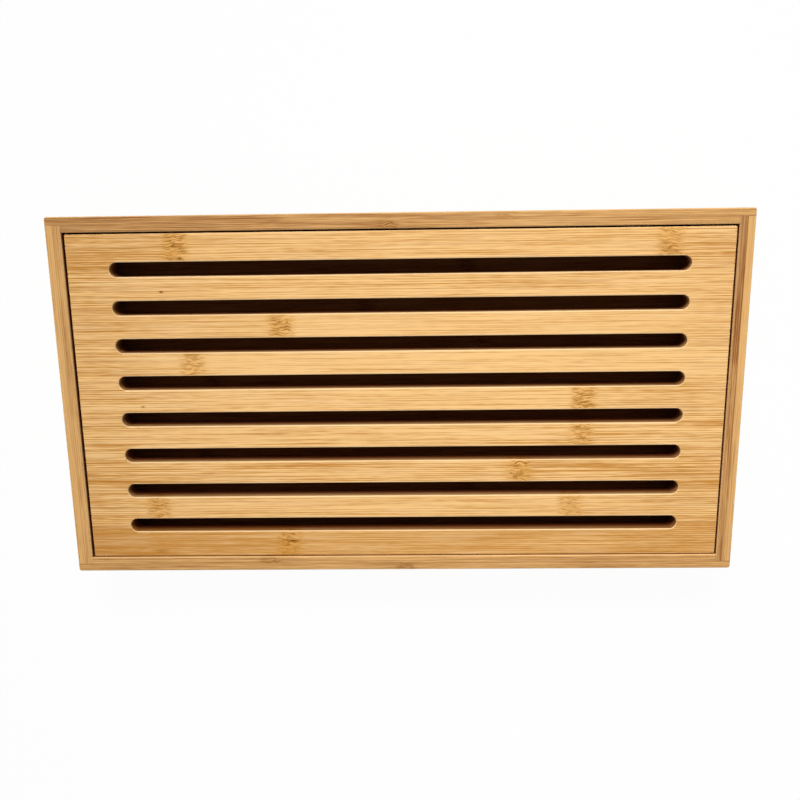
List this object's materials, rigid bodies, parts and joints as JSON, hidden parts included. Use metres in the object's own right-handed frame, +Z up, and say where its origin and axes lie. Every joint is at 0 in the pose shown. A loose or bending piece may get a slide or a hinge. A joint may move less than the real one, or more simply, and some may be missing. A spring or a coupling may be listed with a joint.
{
  "type": "bread board with crumb tray",
  "caption": "Shallow bamboo tray with a lift-out slotted cutting board; crumbs fall through the long slots into the tray.",
  "frame": {"origin": "on the table, under the middle of the tray", "axes": "+X along the slots to the right, +Y to the back wall (the upper side of the picture), +Z up"},
  "size_m": [0.42, 0.225, 0.04],
  "materials": {
    "board_bamboo": "oiled bamboo, satin",
    "rim_bamboo": "oiled bamboo, satin",
    "base_bamboo": "sanded bamboo",
    "foot_rubber": "matt"
  },
  "bodies": {
    "tray": {"front_wall": "rim_bamboo", "back_wall": "rim_bamboo", "left_wall": "rim_bamboo", "right_wall": "rim_bamboo", "base_panel": "base_bamboo", "left_cleat": "base_bamboo", "right_cleat": "base_bamboo", "foot_front_left": "foot_rubber", "foot_front_right": "foot_rubber", "foot_back_left": "foot_rubber", "foot_back_right": "foot_rubber"},
    "board": {"slotted_board": "board_bamboo"}
  },
  "joints": [
    {"name": "board_lift", "type": "slide", "parent": "tray", "child": "board", "axis": [0, 0, 1], "range_m": [0, 0.05]}
  ]
}
